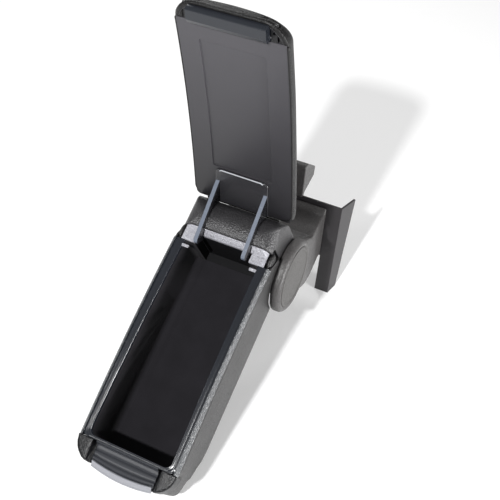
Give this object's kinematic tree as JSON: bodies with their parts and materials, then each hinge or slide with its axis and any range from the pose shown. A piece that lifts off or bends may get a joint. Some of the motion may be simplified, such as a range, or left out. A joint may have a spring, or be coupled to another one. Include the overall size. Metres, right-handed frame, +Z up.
{
  "type": "car centre armrest",
  "caption": "Tilting storage armrest with a padded lid on gooseneck arms, on a stem with round ears and a hooked console bracket",
  "frame": {"origin": "middle of the bounding box on the floor, between the bracket legs and the front edge of the box", "axes": "+Z up, -Y towards the free end of the box, +X across to the right seen from behind the free end"},
  "size_m": [0.1766, 0.5142, 0.5377],
  "materials": {
    "bracket_black": "satin black powder coat",
    "stem_black": "grained black moulding",
    "steel": "zinc plated",
    "tub_black": "plain black moulding",
    "flock": "flocked, very dark",
    "leatherette": "fine grained black leatherette",
    "bezel_satin": "satin bluish black",
    "strip_grain": "grained, catches the light",
    "trim_bright": "polished, bright in the light",
    "cap_gloss": "satin black",
    "lid_grey": "satin dark grey",
    "latch_grey": "satin bluish grey",
    "disc_black": "fine texture"
  },
  "bodies": {
    "bracket": {"bracket_plate": "bracket_black", "hook_block": "stem_black", "stem": "stem_black", "cap_disc_left": "disc_black", "cap_disc_right": "disc_black", "hub_axle": "steel", "stem_screw_left": "steel", "stem_screw_right": "steel"},
    "lid": {"lid_panel": "lid_grey", "lid_pad": "leatherette", "hinge_plate": "lid_grey", "arm_left": "lid_grey", "arm_right": "lid_grey", "corner_left": "cap_gloss", "corner_right": "cap_gloss", "latch_pin": "steel"},
    "latch": {"latch_bar": "latch_grey"},
    "box": {"tub": "tub_black", "tub_lining": "flock", "side_wrap": "leatherette", "bezel": "bezel_satin", "edge_left": "strip_grain", "edge_right": "strip_grain", "rear_trim": "trim_bright", "knuckle_core": "tub_black", "hump_pad": "leatherette", "bush_left": "tub_black", "bush_right": "tub_black", "hinge_pin": "steel", "front_wrap": "leatherette", "front_cap": "cap_gloss", "front_catch": "cap_gloss"}
  },
  "joints": [
    {"name": "box_tilt", "type": "hinge", "parent": "bracket", "child": "box", "pos_m": [0, 0.06537, 0.15007], "axis": [-1, 0, 0], "range_deg": [0, 60]},
    {"name": "lid_hinge", "type": "hinge", "parent": "box", "child": "lid", "pos_m": [0, 0.04514, 0.21069], "axis": [1, 0, 0], "range_deg": [0, 108.9]},
    {"name": "latch_press", "type": "hinge", "parent": "lid", "child": "latch", "pos_m": [0, 0.0281, 0.51634], "axis": [-1, 0, 0], "range_deg": [0, 8], "stiffness_Nm_per_rad": 0.5, "springref_deg": -6.88}
  ]
}
